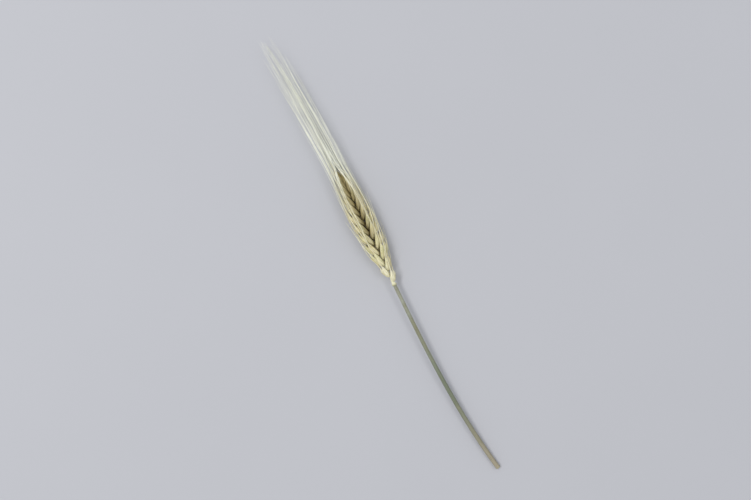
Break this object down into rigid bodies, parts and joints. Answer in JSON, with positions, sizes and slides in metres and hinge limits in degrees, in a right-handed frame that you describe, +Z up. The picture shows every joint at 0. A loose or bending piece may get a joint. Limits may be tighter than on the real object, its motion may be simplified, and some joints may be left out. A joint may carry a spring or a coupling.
{
  "type": "dried barley ear",
  "caption": "Dried ear of barley lying flat: overlapping husked grains in rows round a thin axis, each drawn out into a long bristle, on a length of hollow cut straw.",
  "frame": {"origin": "middle of the bounding box in plan, on the surface that the ear lies on", "axes": "+Y along the ear from the straw to the tips of the awns, +Z up from the surface"},
  "size_m": [0.0179, 0.2657, 0.0109],
  "materials": {
    "husk": "matt dry husk",
    "straw": "satin dry straw"
  },
  "bodies": {
    "root": {"ear": "husk", "straw": "straw"}
  },
  "joints": []
}
